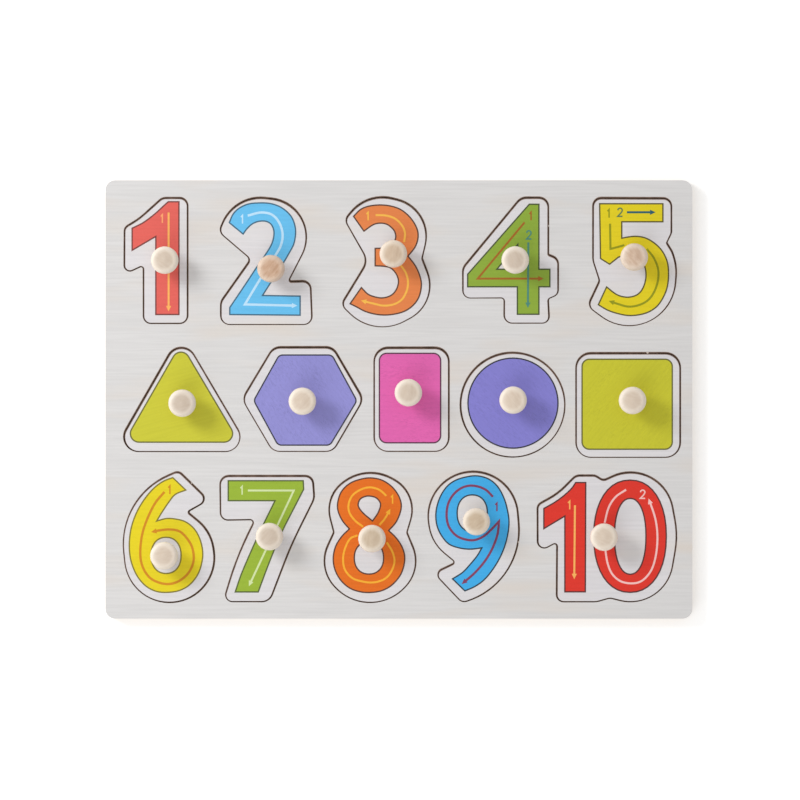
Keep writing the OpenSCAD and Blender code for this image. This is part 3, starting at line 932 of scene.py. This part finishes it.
stubs = []
for name, (across, up), size in NICKS:
    low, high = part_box("piece_" + name)
    spot = Vector((low.x + across * (high.x - low.x), low.y + up * (high.y - low.y)))
    stubs.append([nick(spot, size)])
nick_wood = painted_wood("nick_wood", tone(236, 226, 216), tone(222, 206, 190), tone(228, 212, 196))
thin_solid("cut_nicks", stubs, NICK_HEIGHT, nick_wood, "board", NICK_DEPTH)


ink_materials = {name: printed_ink("ink_" + name, colour) for name, colour in INKS.items()}


def lay_print(name):
    """Lays a piece's print on it: the filled figure, its dark outline, and the stroke guides."""
    details = PRINTS[name]
    low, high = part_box("piece_" + name)
    left, bottom, width, height = details["frame"]
    size = high - low

    def place(point):
        x = low.x + (left + point[0] * width) * size.x
        y = low.y + (bottom + point[1] * height) * size.y
        return Vector((x, y))

    if "discs" in details:
        outlines = [disc_belt([place(centre) for centre in details["discs"]], details["radius"])]
    else:
        outlines = [trace(path, place, True) for path in details["outlines"]]
    grain_turn = details.get("grain_turn", 0)
    mottle = details.get("mottle", PLAIN_MOTTLE)
    fill = printed_ink("ink_fill_" + name, details["ink"], grain_turn, mottle)
    thin_solid("print_fill_" + name, [outlines], FILL_HEIGHT, fill, name)
    line = printed_ink("ink_line_" + name, shaded(details["ink"], details["line"], LINE_LIGHT))
    bands = [list(sides(outline, LINE_WIDTH / 2, True)) for outline in outlines]
    thin_solid("print_line_" + name, bands, LINE_HEIGHT, line, name)

    guides = {}
    for ink, path, has_head in details.get("strokes", []):
        points = trace(path, place, False)
        stroke_width = details.get("guide", STROKE_WIDTH)
        shape = arrow(points, stroke_width) if has_head else stroke(points, stroke_width)
        guides.setdefault(ink, []).append([shape])
    for ink, digit, middle in details.get("digits", []):
        centre = place(middle)
        points = trace(DIGIT_PATHS[digit], lambda point: centre + DIGIT_HEIGHT * Vector(point), False)
        guides.setdefault(ink, []).append([stroke(points, DIGIT_WIDTH)])
    for layer, (ink, shapes) in enumerate(guides.items()):
        solid_name = "print_guide_" + name + "_" + ink
        top = STROKE_HEIGHT + layer * STROKE_STEP
        thin_solid(solid_name, shapes, top, ink_materials[ink], name)


for name in PIECES:
    lay_print(name)


# Stage: a white floor that keeps the shadow, soft light from the upper left, a camera straight above

def seen_directly(tree):
    """1 for what the camera sees, straight, mirrored or through glass, and 0 for light on the object."""
    path = tree.nodes.new("ShaderNodeLightPath")
    total = path.outputs["Is Camera Ray"]
    for ray in ("Is Glossy Ray", "Is Transmission Ray"):
        joined = tree.nodes.new("ShaderNodeMath")
        joined.operation = "MAXIMUM"
        tree.links.new(total, joined.inputs[0])
        tree.links.new(path.outputs[ray], joined.inputs[1])
        total = joined.outputs["Value"]
    return total


FLOOR_SIZE = 6.0
FLOOR_DROP = 0.05 * MM
FLOOR_LIFT = 0.4
FLOOR_GREY = 0.86
FLOOR_ROUGHNESS = 0.9
FLOOR_GLOSS = 0.1

bpy.ops.mesh.primitive_plane_add(size=FLOOR_SIZE, location=(0, 0, -FLOOR_DROP))
floor = bpy.context.object
floor.name = "floor"
floor_material = bpy.data.materials.new("floor")
floor_material.use_nodes = True
floor_tree = floor_material.node_tree
floor_surface = floor_tree.nodes["Principled BSDF"]
floor_surface.inputs["Base Color"].default_value = (FLOOR_GREY, FLOOR_GREY, FLOOR_GREY, 1)
floor_surface.inputs["Roughness"].default_value = FLOOR_ROUGHNESS
floor_surface.inputs["Specular IOR Level"].default_value = FLOOR_GLOSS
glow = floor_tree.nodes.new("ShaderNodeEmission")
glow_strength = floor_tree.nodes.new("ShaderNodeMath")
glow_strength.operation = "MULTIPLY"
glow_strength.inputs[1].default_value = FLOOR_LIFT
floor_tree.links.new(seen_directly(floor_tree), glow_strength.inputs[0])
floor_tree.links.new(glow_strength.outputs["Value"], glow.inputs["Strength"])
both = floor_tree.nodes.new("ShaderNodeAddShader")
floor_tree.links.new(floor_surface.outputs["BSDF"], both.inputs[0])
floor_tree.links.new(glow.outputs["Emission"], both.inputs[1])
floor_tree.links.new(both.outputs["Shader"], floor_tree.nodes["Material Output"].inputs["Surface"])
floor.data.materials.append(floor_material)
floor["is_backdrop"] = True

FILL_LIGHT = 0.565
FILL_COLOUR = (1.0, 0.995, 0.99, 1)
# Name, place, width, power and colour of each lamp
LAMPS = [
    ("key", Vector((-1.15, 0.69, 0.9)), 0.66, 13.3, (0.985, 1.0, 1.01)),
    ("front", Vector((-0.55, -0.95, 0.95)), 1.2, 4.8, (1.0, 0.995, 0.99)),
]

world = bpy.data.worlds.new("studio")
world.use_nodes = True
bpy.context.scene.world = world
sky = world.node_tree.nodes["Background"]
sky.inputs["Color"].default_value = FILL_COLOUR
sky_strength = world.node_tree.nodes.new("ShaderNodeMapRange")
sky_strength.inputs["To Min"].default_value = FILL_LIGHT
world.node_tree.links.new(seen_directly(world.node_tree), sky_strength.inputs["Value"])
world.node_tree.links.new(sky_strength.outputs["Result"], sky.inputs["Strength"])

for lamp_name, spot, lamp_size, power, lamp_colour in LAMPS:
    lamp = bpy.data.objects.new(lamp_name, bpy.data.lights.new(lamp_name, "AREA"))
    lamp.data.shape = "DISK"
    lamp.data.size = lamp_size
    lamp.data.energy = power
    lamp.data.color = lamp_colour
    lamp.location = spot
    lamp.rotation_euler = (-spot).to_track_quat("-Z", "Y").to_euler()
    bpy.context.collection.objects.link(lamp)

CAMERA_HEIGHT = 3.0
CAMERA_SHIFT = (0.56 * MM, -0.26 * MM)
CAMERA_RANGE = 20.0
SENSOR_WIDTH = 36.0
VIEW_WIDTH = 408.85 * MM

camera = bpy.data.objects.new("camera", bpy.data.cameras.new("camera"))
camera.location = (CAMERA_SHIFT[0], CAMERA_SHIFT[1], CAMERA_HEIGHT)
camera.data.sensor_width = SENSOR_WIDTH
camera.data.lens = SENSOR_WIDTH * (CAMERA_HEIGHT - SHEETS_HEIGHT) / VIEW_WIDTH
camera.data.clip_end = CAMERA_RANGE
bpy.context.collection.objects.link(camera)
bpy.context.scene.camera = camera
bpy.context.scene.view_settings.view_transform = "Standard"

boxes = {"cad": cad_box, "visual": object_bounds()}
{name: [list(corner) for corner in box] for name, box in boxes.items()}
